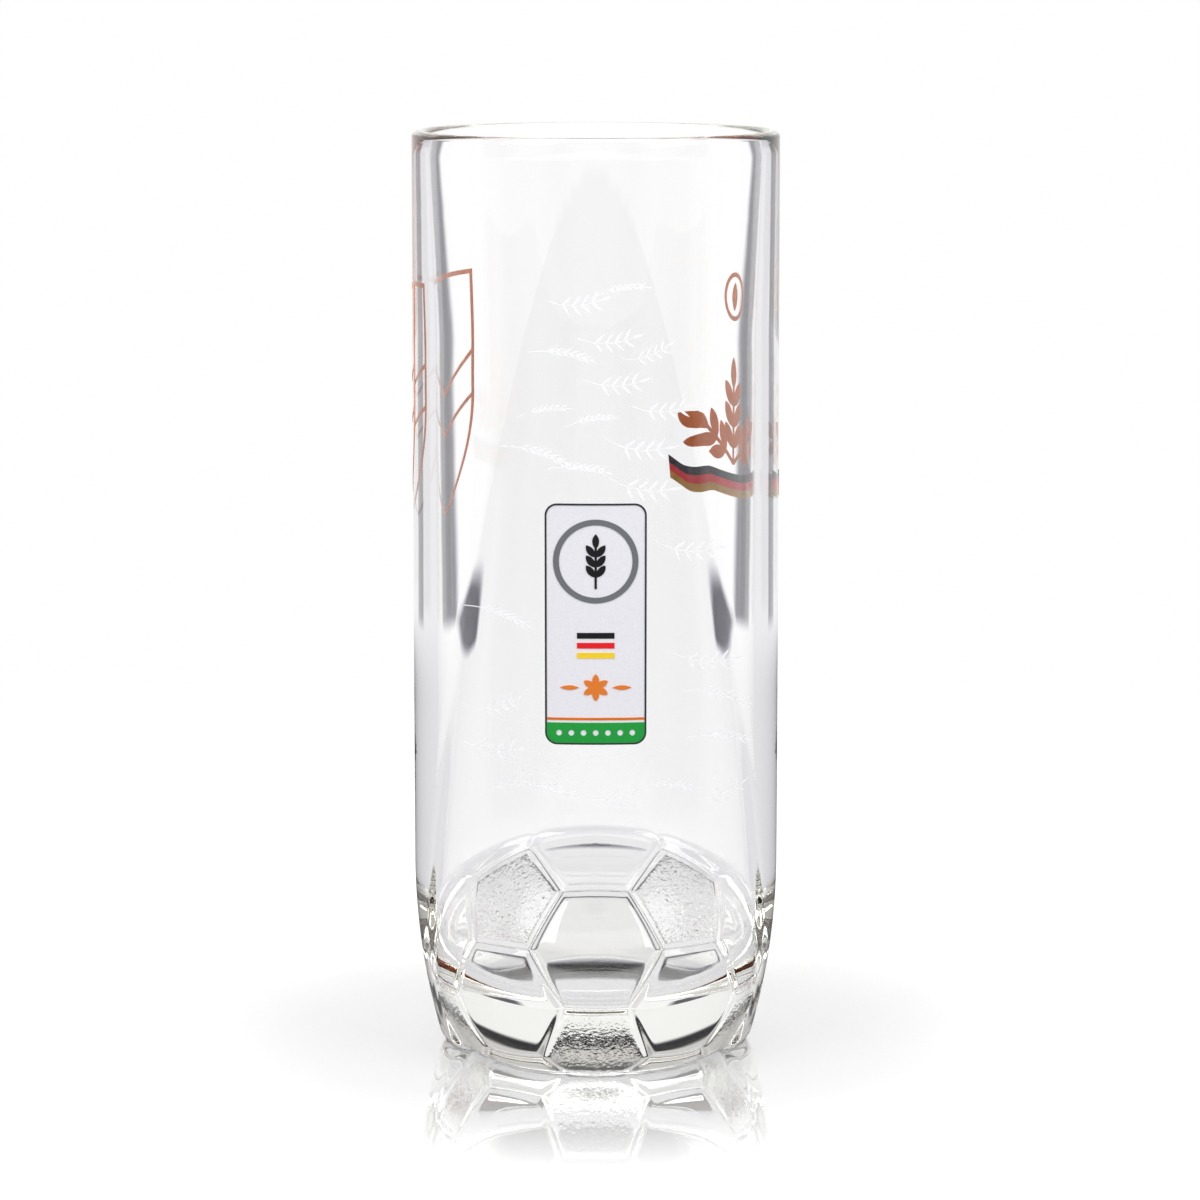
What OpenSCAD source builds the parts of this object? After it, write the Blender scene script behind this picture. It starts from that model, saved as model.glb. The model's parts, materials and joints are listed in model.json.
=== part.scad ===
// Beer glass: a tall cylinder with a tapered front panel that runs down to a football fused into its foot.
// Millimetres. The origin is on the glass's axis, on the surface it stands on. The front faces -Y.

/* [Body] */
// Height of the glass
glass_height = 176; // [140:1:220]
// Outer diameter of the straight part
body_d = 70; // [64:1:80]
// Diameter of the foot, where its sides would meet the table
foot_d = 59.4; // [54:0.2:62]
// Height at which the foot starts to draw in
foot_taper_height = 36; // [26:1:46]
// Radius of the foot's bottom edge
foot_edge_radius = 2; // [1:0.5:3]

/* [Inside] */
// Thickness of the wall at the rim
rim_wall = 2.8; // [2.7:0.1:3.6]
// Diameter of the fire-polished bead along the rim
rim_bead = 2.6; // [1.8:0.1:2.6]
// Distance from the rim down to where the thinner lip ends
lip_height = 40; // [20:1:60]
// Thickness of the wall where the lip ends
lip_wall = 4.3; // [3.6:0.1:4.6]
// Thickness of the wall at the bottom of the drinking space
low_wall = 4.6; // [4.3:0.1:5.5]
// Thickness of the glass behind the foot of the front panel
panel_wall = 5; // [4:0.1:7]
// Height of the drinking space's floor, which lies behind the football
inside_floor_height = 12.5; // [9:0.5:20]
// Radius where the floor turns up into the wall
inside_corner_radius = 20; // [12:1:24]

/* [Front panel] */
// Distance from the rim down to the panel's tip
panel_tip_drop = 4.8; // [3:0.2:12]
// Level radius of the panel at its tip
panel_side_radius = 64; // [56:1:76]
// How far the panel lies behind the round wall at its low end
panel_depth = 8.1; // [6.5:0.1:9]
// Height at which that depth is measured
panel_low_height = 50; // [44:1:60]
// Upright radius of the panel
panel_upright_radius = 1600; // [1200:50:3000]

/* [Football] */
// Radius of the ball
ball_radius = 31.2; // [29:0.1:32]
// Height of the ball's centre
ball_height = 19.6; // [17:0.1:20]
// Distance of the ball's centre in front of the glass's axis
ball_forward = 9; // [8:0.1:12]
// Width of the seams between the ball's panels
seam_width = 1.2; // [0.6:0.1:2]
// Depth of the seams
seam_depth = 0.4; // [0.2:0.05:0.8]

/* [Badge] */
// Thickness of one fired layer of ink
ink = 0.1; // [0.06:0.02:0.2]
// Width of the badge
badge_w = 19; // [17:0.5:22]
// Height of the badge
badge_h = 46; // [44:0.5:50]
// Height of the badge's lower edge above the table
badge_low = 62.4; // [58:0.2:80]
// Corner radius of the badge
badge_corner = 2.3; // [1:0.1:3]
// Width of the badge's outline
badge_line = 0.35; // [0.2:0.05:0.6]
// Height of the badge's band
badge_band_h = 3.9; // [3:0.1:5]
// Diameter of the dots left open in the band
badge_dot_d = 1.1; // [0.6:0.1:1.6]
// Height of the rule above the band
badge_rule_h = 0.45; // [0.2:0.05:0.8]
// Gap between the band and the rule
badge_rule_gap = 0.5; // [0.3:0.1:1]
// Gap between the ring and the outline
badge_ring_margin = 1.2; // [0.5:0.1:2.5]
// Width of the ring's line
badge_ring_line = 1.1; // [0.6:0.1:1.6]
// Gap between the top of the ring and the badge's upper edge
badge_ring_drop = 3; // [1:0.1:4]
// Length of a grain in the badge's ear of barley
badge_grain = 2.8; // [2:0.1:2.9]
// Length of the stalk under that ear
badge_stalk = 2.2; // [1:0.1:2.6]
// Width of a colour bar
badge_bar_w = 7; // [4:0.2:12]
// Height of a colour bar
badge_bar_h = 1.1; // [0.6:0.1:1.2]
// Gap between two colour bars
badge_bar_gap = 0.8; // [0.4:0.1:1]
// Height of the lowest colour bar above the badge's lower edge
badge_bars_low = 16.6; // [16:0.1:17.5]
// Height of the middle of the flower above the badge's lower edge
badge_flower_height = 11; // [10.4:0.1:11.6]
// Length of a petal of the flower
badge_petal = 2.6; // [1.8:0.1:3]
// Width of a petal
badge_petal_w = 1.3; // [0.8:0.1:1.6]
// Length of the leaf on each side of the flower
badge_leaf = 3.6; // [2:0.1:4.4]
// Width of that leaf
badge_leaf_w = 0.9; // [0.6:0.1:1.4]
// Gap between the flower and the leaves
badge_leaf_gap = 0.5; // [0.3:0.1:1]

/* [Side prints] */
// Width of the lines
side_line = 0.9; // [0.6:0.1:1.4]
// Height of the middle of the side prints
side_print_height = 124; // [112:1:132]
// Turn of the left print from the front
left_turn = -104; // [-130:1:-96]
// Width of the shield
shield_w = 30; // [24:1:36]
// Height of the shield
shield_h = 46; // [38:1:50]
// Distance between the shield's chevrons
chevron_step = 8; // [5:0.5:10]
// Rise of a chevron from its point to its ends
chevron_rise = 7.5; // [4:0.5:9]
// Turn of the right print from the front
right_turn = 118; // [104:1:130]
// Width of the ribbon
ribbon_w = 36; // [28:1:42]
// Width of one stripe of the ribbon
ribbon_stripe = 1.5; // [1:0.1:2]
// Radius that the ribbon sags to
ribbon_sag = 60; // [45:1:90]
// Drop of the ribbon's upper edge below the middle of the print
ribbon_drop = 15.5; // [13:0.5:17]
// Length of a grain in the sprig
sprig_grain = 6; // [4:0.2:6.4]
// Length of the stalk of the sprig's middle ear
sprig_stalk = 3; // [2:0.2:4]
// Length of the stalks of its two side ears
sprig_side_stalk = 4.2; // [3:0.2:5]
// Angle of the side ears from upright
sprig_spread = 58; // [45:1:65]
// Gap between the foot of the sprig and the ribbon
sprig_gap = 2; // [1:0.2:3]
// Diameter of the small medallion
medallion_d = 9.4; // [7:0.2:11]
// Rise of the medallion's centre above the middle of the print
medallion_rise = 18; // [16:0.5:20]
// Gap between the medallion's ring and the tips of its leaf
medallion_gap = 1; // [0.4:0.1:1.4]
// Width of the medallion's leaf
medallion_leaf_w = 2.6; // [1.6:0.1:3]

/* [Hidden] */
$fn = 96;

// Room that a cutting or masking shape has beyond what it cuts
over = 5;
body_r = body_d / 2;
foot_r = foot_d / 2;
// The foot's side is an arc that leaves the straight wall upright
foot_draw = body_r - foot_r;
foot_arc = (foot_taper_height * foot_taper_height + foot_draw * foot_draw) / (2 * foot_draw);
foot_arc_x = body_r - foot_arc;
// The edge's round touches the table and the foot's arc
edge_reach = foot_arc - foot_edge_radius;
edge_drop = foot_taper_height - foot_edge_radius;
edge_x = foot_arc_x + sqrt(edge_reach * edge_reach - edge_drop * edge_drop);
edge_top = foot_taper_height - foot_arc * edge_drop / edge_reach;
// The bead lies flush with the outside of the wall
rim_round = rim_bead / 2;
inside_top_r = body_r - rim_wall;
inside_lip_r = body_r - lip_wall;
inside_low_r = body_r - low_wall;
inside_lip_height = glass_height - lip_height;
inside_turn_height = inside_floor_height + inside_corner_radius;

// The panel is part of a barrel that stands behind the glass's axis, so that it touches the wall at its tip
panel_axis_y = panel_side_radius - body_r;
panel_tip_height = glass_height - panel_tip_drop;
panel_low_r = panel_side_radius - panel_depth;
panel_rise = panel_tip_height - panel_low_height;
panel_chord = sqrt(panel_rise * panel_rise + panel_depth * panel_depth);
panel_bow = sqrt(pow(panel_upright_radius, 2) - pow(panel_chord / 2, 2));
panel_arc_x = (panel_side_radius + panel_low_r) / 2 - panel_bow * panel_rise / panel_chord;
panel_arc_height = (panel_tip_height + panel_low_height) / 2 + panel_bow * panel_depth / panel_chord;
// The barrel and the foot's side are built of this many cone bands
panel_bands = 16;
foot_bands = 10;

// An ear of barley in shares of a grain's length: a grain's width, the step from one pair of grains to the
// next, and how far the top grain sits down between the last pair. Its grains lean by this angle.
grain_width_share = 0.46;
grain_step_share = 0.68;
grain_seat_share = 0.12;
grain_lean = 36;

badge_inner_w = badge_w - 2 * badge_line;
badge_inner_h = badge_h - 2 * badge_line;
badge_ring_d = badge_inner_w - 2 * badge_ring_margin;
badge_ring_y = badge_h - badge_ring_drop - badge_ring_d / 2;
badge_ear_pairs = 3;
// Height of the ear, from the foot of its stalk to the tip of its top grain
badge_ear_h = badge_stalk + badge_grain * (badge_ear_pairs * grain_step_share + 1 - grain_seat_share);
badge_dots = 7;
sprig_pairs = 3;
sprig_side_pairs = 2;
medallion_leaf = medallion_d - 2 * side_line - 2 * medallion_gap;

function foot_side(z) = foot_arc_x + sqrt(pow(foot_arc, 2) - pow(foot_taper_height - z, 2));
function panel_r(z) = panel_arc_x + sqrt(pow(panel_upright_radius, 2) - pow(z - panel_arc_height, 2));
function panel_thickness(z) = rim_wall + (panel_wall - rim_wall) * (panel_tip_height - z) / panel_rise;
function band_height(i) = -over + (glass_height + 2 * over) * i / panel_bands;

// Half angles, from the ball's centre, of the corners of its six-sided and five-sided panels
six_corner = asin(1 / ball_edge_ratio());
five_corner = asin(1 / (2 * sin(36)) / ball_edge_ratio());
// Elevations of the rows of panels on a football that stands on a five-sided one
high_row = 52.6226;
five_row = 26.5651;
six_row = 10.8123;

// The ball's radius in panel edges
function ball_edge_ratio() = sqrt(58 + 18 * sqrt(5)) / 4;

// Solid that fills the front panel's barrel, moved outwards by grow, or inwards by the wall if inner is true
module panel_barrel(grow = 0, inner = false) {
    rows = [for (i = [0 : panel_bands]) band_height(i)];
    side = [for (z = rows) [panel_r(z) + grow - (inner ? panel_thickness(z) : 0), z]];
    translate([0, panel_axis_y, 0])
        rotate_extrude()
            polygon(concat([[0, rows[0]]], side, [[0, rows[panel_bands]]]));
}

// Half section of the solid glass, before the panel and the inside are cut
module outer_section() {
    top = glass_height - rim_round;
    side = [for (i = [0 : foot_bands]) edge_top + (foot_taper_height - edge_top) * i / foot_bands];
    polygon(concat([[0, edge_top]], [for (z = side) [foot_side(z), z]], [[body_r, top], [0, top]]));
    square([edge_x, edge_top]);
    translate([edge_x, foot_edge_radius]) circle(foot_edge_radius);
    translate([body_r - rim_round, top]) circle(rim_round);
}

// Half section of the drinking space
module inside_section() {
    polygon([[0, inside_turn_height], [inside_low_r, inside_turn_height], [inside_lip_r, inside_lip_height],
             [inside_top_r, glass_height], [0, glass_height]]);
    translate([0, inside_floor_height]) square([inside_low_r - inside_corner_radius, inside_corner_radius]);
    intersection() {
        translate([inside_low_r - inside_corner_radius, inside_turn_height]) circle(inside_corner_radius);
        translate([0, inside_floor_height]) square([inside_low_r, inside_corner_radius]);
    }
}

module drinking_space() {
    intersection() {
        rotate_extrude() inside_section();
        panel_barrel(inner = true);
    }
}

// One raised panel of the ball: a pyramid from the ball's centre, drawn back from its edges by half a seam
module ball_panel(sides, corner, elevation, azimuth, phase) {
    flat = atan(tan(corner) * cos(180 / sides));
    reach = 2 * ball_radius;
    intersection() {
        sphere(ball_radius);
        rotate([0, 90 - elevation, azimuth - 90])
            translate([0, 0, seam_width / 2 / sin(flat)])
                rotate(phase)
                    cylinder(h = reach, r1 = 0, r2 = reach * tan(corner), $fn = sides);
    }
}

// The football, cut flat where the glass stands
module football() {
    reach = 2 * ball_radius;
    intersection() {
        translate([0, -ball_forward, ball_height]) {
            sphere(ball_radius - seam_depth);
            for (turn = [-72, 0, 72]) {
                ball_panel(6, six_corner, high_row, turn, 30);
                ball_panel(6, six_corner, six_row, turn, 30);
                ball_panel(5, five_corner, -five_row, turn, 0);
            }
            for (turn = [-36, 36]) {
                ball_panel(5, five_corner, five_row, turn, 180);
                ball_panel(6, six_corner, -high_row, turn, 30);
            }
            for (turn = [-108, -36, 36, 108])
                ball_panel(6, six_corner, -six_row, turn, 30);
        }
        translate([-reach, -reach - ball_forward, 0]) cube([2 * reach, 2 * reach, 2 * reach]);
    }
}

module glass_body() {
    color([0.86, 0.91, 0.89, 0.5])
        difference() {
            union() {
                intersection() {
                    rotate_extrude() outer_section();
                    panel_barrel();
                }
                football();
            }
            drinking_space();
        }
}

// A flat drawing pressed onto the front panel, with its foot at the badge's lower edge
module panel_print(layer) {
    intersection() {
        translate([0, 0, badge_low])
            rotate([90, 0, 0])
                linear_extrude(body_d) children();
        difference() {
            panel_barrel(ink * (layer + 1));
            panel_barrel(ink * layer);
        }
    }
}

// A flat drawing pressed onto the round wall, turned from the front, with its middle at the prints' height
module wall_print(turn) {
    intersection() {
        rotate(turn)
            translate([0, 0, side_print_height])
                rotate([90, 0, 0])
                    linear_extrude(body_d) children();
        difference() {
            cylinder(h = glass_height, r = body_r + ink);
            translate([0, 0, -over]) cylinder(h = glass_height + 2 * over, r = body_r);
        }
    }
}

// Rectangle with round corners, standing on the X axis
module rounded_plate(w, h, r) {
    translate([-w / 2 + r, 0]) square([w - 2 * r, h]);
    translate([-w / 2, r]) square([w, h - 2 * r]);
    for (x = [-1, 1], y = [r, h - r])
        translate([x * (w / 2 - r), y]) circle(r);
}

// Pointed leaf that grows up from the origin
module leaf(len, w) {
    bend = (len * len + w * w) / (4 * w);
    intersection() {
        translate([bend - w / 2, len / 2]) circle(bend);
        translate([w / 2 - bend, len / 2]) circle(bend);
    }
}

// Ear of barley that grows up from the origin: a stalk, pairs of grains and one grain on top
module barley_ear(grain, pairs, stalk) {
    grain_w = grain * grain_width_share;
    stalk_w = grain_w / 3;
    step = grain * grain_step_share;
    top = stalk + pairs * step;
    translate([-stalk_w / 2, 0]) square([stalk_w, top]);
    for (i = [0 : pairs - 1], side = [-1, 1])
        translate([side * stalk_w / 3, stalk + i * step]) rotate(-side * grain_lean) leaf(grain, grain_w);
    translate([0, top - grain * grain_seat_share]) leaf(grain, grain_w);
}

module badge_plate_inner() {
    translate([0, badge_line]) rounded_plate(badge_inner_w, badge_inner_h, badge_corner - badge_line);
}

module badge_ground() {
    color([0.87, 0.87, 0.89])
        panel_print(0) rounded_plate(badge_w, badge_h, badge_corner);
}

module badge_border() {
    color([0.16, 0.16, 0.17])
        panel_print(1)
            difference() {
                rounded_plate(badge_w, badge_h, badge_corner);
                badge_plate_inner();
            }
}

module badge_ring() {
    color([0.42, 0.43, 0.45])
        panel_print(1)
            translate([0, badge_ring_y])
                difference() {
                    circle(badge_ring_d / 2);
                    circle(badge_ring_d / 2 - badge_ring_line);
                }
}

module badge_ear() {
    color([0.06, 0.06, 0.06])
        panel_print(1)
            translate([0, badge_ring_y - badge_ear_h / 2])
                barley_ear(badge_grain, badge_ear_pairs, badge_stalk);
}

// One of the short bars, counted from the lowest
module badge_bar(place, ink_colour) {
    color(ink_colour)
        panel_print(1)
            translate([-badge_bar_w / 2, badge_bars_low + place * (badge_bar_h + badge_bar_gap)])
                square([badge_bar_w, badge_bar_h]);
}

module badge_bar_black() { badge_bar(2, [0.06, 0.06, 0.06]); }
module badge_bar_red() { badge_bar(1, [0.8, 0.08, 0.09]); }
module badge_bar_gold() { badge_bar(0, [0.95, 0.76, 0.12]); }

// A flower of six petals between two long leaves
module badge_ornament() {
    color([0.85, 0.42, 0.12])
        panel_print(1)
            translate([0, badge_flower_height]) {
                for (turn = [0 : 60 : 300])
                    rotate(turn) leaf(badge_petal, badge_petal_w);
                for (side = [-1, 1])
                    translate([side * (badge_petal + badge_leaf_gap), 0])
                        rotate(-side * 90) leaf(badge_leaf, badge_leaf_w);
            }
}

module badge_rule() {
    color([0.72, 0.42, 0.24])
        panel_print(1)
            translate([-badge_inner_w / 2, badge_line + badge_band_h + badge_rule_gap])
                square([badge_inner_w, badge_rule_h]);
}

module badge_band() {
    dot_step = badge_inner_w / (badge_dots + 1);
    color([0.1, 0.55, 0.2])
        panel_print(1)
            difference() {
                intersection() {
                    badge_plate_inner();
                    translate([-badge_w, badge_line]) square([2 * badge_w, badge_band_h]);
                }
                for (i = [1 : badge_dots])
                    translate([-badge_inner_w / 2 + i * dot_step, badge_line + badge_band_h / 2])
                        circle(badge_dot_d / 2);
            }
}

// Shield around the origin: an upright upper half, and two bowed sides that meet in a point below
module shield(w, h) {
    half_w = w / 2;
    half_h = h / 2;
    bow = (half_w * half_w + half_h * half_h) / w;
    translate([-half_w, 0]) square([w, half_h]);
    intersection() {
        translate([half_w - bow, 0]) circle(bow);
        translate([bow - half_w, 0]) circle(bow);
        translate([-half_w, -h]) square([w, h + side_line]);
    }
}

module chevron(w, rise) {
    polygon([[-w / 2, rise], [0, 0], [w / 2, rise], [w / 2, rise + side_line], [0, side_line],
             [-w / 2, rise + side_line]]);
}

module side_shield() {
    inset = 2 * side_line;
    color([0.78, 0.42, 0.2])
        wall_print(left_turn) {
            difference() {
                shield(shield_w, shield_h);
                shield(shield_w - inset, shield_h - inset);
            }
            intersection() {
                shield(shield_w - side_line, shield_h - side_line);
                for (place = [-1, 0])
                    translate([0, place * chevron_step]) chevron(shield_w, chevron_rise);
            }
        }
}

// One stripe of the ribbon, counted from the top
module ribbon_stripe_print(place, ink_colour) {
    outer = ribbon_sag + (place + 1) * ribbon_stripe;
    color(ink_colour)
        wall_print(right_turn)
            intersection() {
                translate([0, ribbon_sag - ribbon_drop])
                    difference() {
                        circle(outer, $fn = 360);
                        circle(outer - ribbon_stripe, $fn = 360);
                    }
                translate([-ribbon_w / 2, -2 * ribbon_drop]) square([ribbon_w, 2 * ribbon_drop]);
            }
}

module ribbon_black() { ribbon_stripe_print(0, [0.06, 0.06, 0.06]); }
module ribbon_red() { ribbon_stripe_print(1, [0.8, 0.08, 0.09]); }
module ribbon_gold() { ribbon_stripe_print(2, [0.85, 0.62, 0.16]); }

// Three ears that spread from one foot just above the ribbon, and a ring with a leaf over them
module side_sprig() {
    color([0.78, 0.42, 0.2])
        wall_print(right_turn) {
            translate([0, sprig_gap - ribbon_drop]) {
                for (turn = [-sprig_spread, sprig_spread])
                    rotate(turn) barley_ear(sprig_grain, sprig_side_pairs, sprig_side_stalk);
                barley_ear(sprig_grain, sprig_pairs, sprig_stalk);
            }
            translate([0, medallion_rise]) {
                difference() {
                    circle(medallion_d / 2);
                    circle(medallion_d / 2 - side_line);
                }
                translate([0, -medallion_leaf / 2]) leaf(medallion_leaf, medallion_leaf_w);
            }
        }
}

glass_body();
badge_ground();
badge_border();
badge_ring();
badge_ear();
badge_bar_black();
badge_bar_red();
badge_bar_gold();
badge_ornament();
badge_rule();
badge_band();
side_shield();
side_sprig();
ribbon_black();
ribbon_red();
ribbon_gold();
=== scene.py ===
# %% [markdown]
# # A beer glass with a football in its foot
# The real object is one piece of pressed glass with fired prints on it. It is a straight tumbler whose front
# is cut back into a tall, tapered panel. The panel leans in towards the foot, and there half a football
# stands out of it. The CAD model holds the sizes and the thin layers of print. This lesson makes the glass
# itself, with its rounded edges and the stippled panels of the ball, and gives each layer of print a finish.
#
# The frame is loaded first, because every later piece is placed in it. Its box gives the glass's height, and
# the dressed glass has to stay inside it.

# %% Load the frame
import json
import math

import bpy
import numpy as np
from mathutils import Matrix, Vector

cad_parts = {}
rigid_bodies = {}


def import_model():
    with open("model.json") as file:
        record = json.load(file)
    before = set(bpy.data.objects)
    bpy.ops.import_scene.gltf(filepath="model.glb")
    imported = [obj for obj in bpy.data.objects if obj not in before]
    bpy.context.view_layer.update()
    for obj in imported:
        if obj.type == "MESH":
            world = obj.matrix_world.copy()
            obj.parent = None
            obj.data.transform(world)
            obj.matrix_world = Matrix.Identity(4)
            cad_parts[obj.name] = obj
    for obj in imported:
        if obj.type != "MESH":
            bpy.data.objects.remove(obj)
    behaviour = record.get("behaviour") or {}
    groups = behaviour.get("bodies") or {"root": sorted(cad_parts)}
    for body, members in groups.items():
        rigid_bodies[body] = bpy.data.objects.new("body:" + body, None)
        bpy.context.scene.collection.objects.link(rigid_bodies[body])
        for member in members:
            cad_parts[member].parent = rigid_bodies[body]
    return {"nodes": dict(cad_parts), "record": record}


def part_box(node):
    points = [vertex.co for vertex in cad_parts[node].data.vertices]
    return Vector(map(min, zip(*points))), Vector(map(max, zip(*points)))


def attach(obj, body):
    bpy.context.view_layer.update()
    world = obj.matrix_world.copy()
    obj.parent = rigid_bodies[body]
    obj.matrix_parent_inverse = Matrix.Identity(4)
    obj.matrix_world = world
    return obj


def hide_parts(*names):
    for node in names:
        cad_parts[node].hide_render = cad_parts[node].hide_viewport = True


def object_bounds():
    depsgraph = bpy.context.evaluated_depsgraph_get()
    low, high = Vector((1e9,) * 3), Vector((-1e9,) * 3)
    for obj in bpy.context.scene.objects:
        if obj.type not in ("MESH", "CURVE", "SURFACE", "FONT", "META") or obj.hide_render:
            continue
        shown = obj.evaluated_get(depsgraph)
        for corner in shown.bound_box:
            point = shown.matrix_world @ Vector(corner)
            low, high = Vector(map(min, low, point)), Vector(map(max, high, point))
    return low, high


MM = 0.001
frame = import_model()
nodes = frame["nodes"]
cad_low, cad_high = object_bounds()
scene = bpy.context.scene
print("CAD nodes:", len(nodes), "box in mm:", [round((b - a) / MM, 2) for a, b in zip(cad_low, cad_high)])

# %% [markdown]
# ## The camera
# A product photograph of a glass is taken from far away with a long lens, a little above the rim, so that the
# walls stay upright. The camera's height and tilt were found from the rim, which is seen almost edge on, and
# from the curve of the foot. The frame is square, so one lens value sets both directions.

# %% Camera
CAMERA_BACK = 915 * MM
CAMERA_HEIGHT = 217.6 * MM
CAMERA_ASIDE = 0.8 * MM
CAMERA_TILT = math.radians(8.2)
CAMERA_NEAREST = 10 * MM
# Focal length and width of the picture behind the lens, in millimetres
CAMERA_LENS = 144
CAMERA_SENSOR = 36


def make_camera():
    data = bpy.data.cameras.new("camera")
    data.lens = CAMERA_LENS
    data.sensor_width = CAMERA_SENSOR
    data.clip_start = CAMERA_NEAREST
    camera = bpy.data.objects.new("camera", data)
    camera.location = (CAMERA_ASIDE, -CAMERA_BACK, CAMERA_HEIGHT)
    camera.rotation_euler = (math.pi / 2 - CAMERA_TILT, 0, 0)
    scene.collection.objects.link(camera)
    return camera


scene.camera = make_camera()
scene.view_settings.view_transform = "Standard"
print("camera", [round(x, 3) for x in scene.camera.location], "lens", CAMERA_LENS)

# %% [markdown]
# ## The shape of the glass as a rule
# The outside can be written as one distance from the axis, for every turn and height. It is the smaller of a
# round wall and a wide barrel, which makes the front panel, and then the larger of that and the ball. A plain
# smaller-of and larger-of would leave knife edges. A smooth one blends them, as glass does when it is pressed
# and fire polished. All sizes here are in millimetres and become metres in the mesh.

# %% Sizes of the glass, in millimetres
GLASS_HEIGHT = cad_high.z / MM
BODY_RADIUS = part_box("glass_body")[1].y / MM
FOOT_RADIUS = 29.7
FOOT_TAPER_HEIGHT = 36
FOOT_EDGE_RADIUS = 2
RIM_ROUND = 1.3
RIM_WALL = 2.8
LOW_WALL = 4.6
PANEL_WALL = 5
LIP_HEIGHT = 40
LIP_WALL = 4.3
INSIDE_FLOOR = 12.5
INSIDE_CORNER = 20
PANEL_TIP_DROP = 4.8
PANEL_TIP = GLASS_HEIGHT - PANEL_TIP_DROP
PANEL_SIDE_RADIUS = 64
PANEL_DEPTH = 8.1
PANEL_LOW = 50
PANEL_UPRIGHT_RADIUS = 1600
BALL_RADIUS = 31.2
BALL_HEIGHT = 19.6
BALL_FORWARD = 9
# The skin stands this far outside the CAD glass, so that the prints are bedded in it
SKIN = 0.03

FOOT_DRAW = BODY_RADIUS - FOOT_RADIUS
FOOT_ARC = (FOOT_TAPER_HEIGHT**2 + FOOT_DRAW**2) / (2 * FOOT_DRAW)
PANEL_AXIS = PANEL_SIDE_RADIUS - BODY_RADIUS
PANEL_RISE = PANEL_TIP - PANEL_LOW
PANEL_CHORD = math.hypot(PANEL_RISE, PANEL_DEPTH)
PANEL_BOW = math.sqrt(PANEL_UPRIGHT_RADIUS**2 - (PANEL_CHORD / 2) ** 2)
PANEL_ARC_R = PANEL_SIDE_RADIUS - PANEL_DEPTH / 2 - PANEL_BOW * PANEL_RISE / PANEL_CHORD
PANEL_ARC_Z = (PANEL_TIP + PANEL_LOW) / 2 + PANEL_BOW * PANEL_DEPTH / PANEL_CHORD


def smooth_min(a, b, blend):
    """The smaller of two values, with the corner between them rounded."""
    share = np.clip(0.5 + 0.5 * (b - a) / blend, 0, 1)
    return b + (a - b) * share - blend * share * (1 - share)


def wall_radius(z):
    """Radius of the round wall, which an arc draws in towards the foot."""
    drop = np.clip(FOOT_TAPER_HEIGHT - z, 0, None)
    return BODY_RADIUS - FOOT_ARC + np.sqrt(FOOT_ARC**2 - drop**2)


def barrel_radius(z):
    """Radius of the panel's barrel, round the barrel's own axis."""
    return PANEL_ARC_R + np.sqrt(PANEL_UPRIGHT_RADIUS**2 - (z - PANEL_ARC_Z) ** 2)


def panel_reach(turn, z, inset=0):
    """Distance from the glass's axis to the panel's barrel. A turn of 0 looks to the front."""
    radius = barrel_radius(z) - inset
    return -PANEL_AXIS * np.cos(turn) + np.sqrt(radius**2 - (PANEL_AXIS * np.sin(turn)) ** 2)


def panel_edge_turn(z):
    """Turn at which the panel meets the round wall."""
    radius = wall_radius(z)
    y = (radius**2 + PANEL_AXIS**2 - barrel_radius(z) ** 2) / (2 * PANEL_AXIS)
    return np.arccos(np.clip(-y / radius, -1, 1))


for height in (50, 100, 150):
    width = 2 * BODY_RADIUS * math.sin(panel_edge_turn(height))
    print("panel at", height, "mm is", round(width, 1), "mm wide")

# %% [markdown]
# ## The football's seams and stippled panels
# A football has 12 five-sided and 20 six-sided panels. A point of the ball belongs to the panel whose flat
# face it is nearest to, and a seam is where two panels are equally near. So the seams need no drawing: the
# best and the second-best panel of each point give its distance from the seam. In the glass the seams are
# shallow troughs, and the five-sided panels are stippled, which a later step adds. A fine ridge up the middle
# of the ball is the line where the two halves of the mould met.

# %% The football's relief
SEAM_HALF_WIDTH = 0.75
SEAM_DEPTH = 0.42
STIPPLE_MARGIN = 0.9
STIPPLE_FADE = 0.5
MOULD_LINE_HEIGHT = 0.1
MOULD_LINE_HALF_WIDTH = 0.35
# A six-sided and a five-sided face, as distances from the ball's centre in panel edges
SIX_FACE = 2.2673
FIVE_FACE = 2.3274
# Elevations of the rows of panels in degrees, which the lower half repeats upside down
HIGH_ROW = 52.6226
FIVE_ROW = 26.5651
SIX_ROW = 10.8123
PANELS_IN_ROW = 5
PANEL_STEP = 360 / PANELS_IN_ROW
HALF_STEP = PANEL_STEP / 2
# Elevation of each row, turn of its first panel, and number of sides
PANEL_ROWS = [(HIGH_ROW, 0, 6), (FIVE_ROW, HALF_STEP, 5), (SIX_ROW, 0, 6),
              (-SIX_ROW, HALF_STEP, 6), (-FIVE_ROW, 0, 5), (-HIGH_ROW, HALF_STEP, 6)]


def ball_faces():
    """Direction of each panel over its face distance, and whether it is five-sided."""
    faces, five = [], []
    for elevation, first, sides in PANEL_ROWS:
        up = math.radians(elevation)
        for turn in np.radians(first + PANEL_STEP * np.arange(PANELS_IN_ROW)):
            outwards = [math.cos(up) * math.sin(turn), -math.cos(up) * math.cos(turn), math.sin(up)]
            faces.append(np.array(outwards) / (FIVE_FACE if sides == 5 else SIX_FACE))
            five.append(sides == 5)
    for pole in (1, -1):
        faces.append(np.array([0, 0, pole / FIVE_FACE]))
        five.append(True)
    return np.array(faces), np.array(five)


BALL_FACES, BALL_IS_FIVE = ball_faces()


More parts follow.
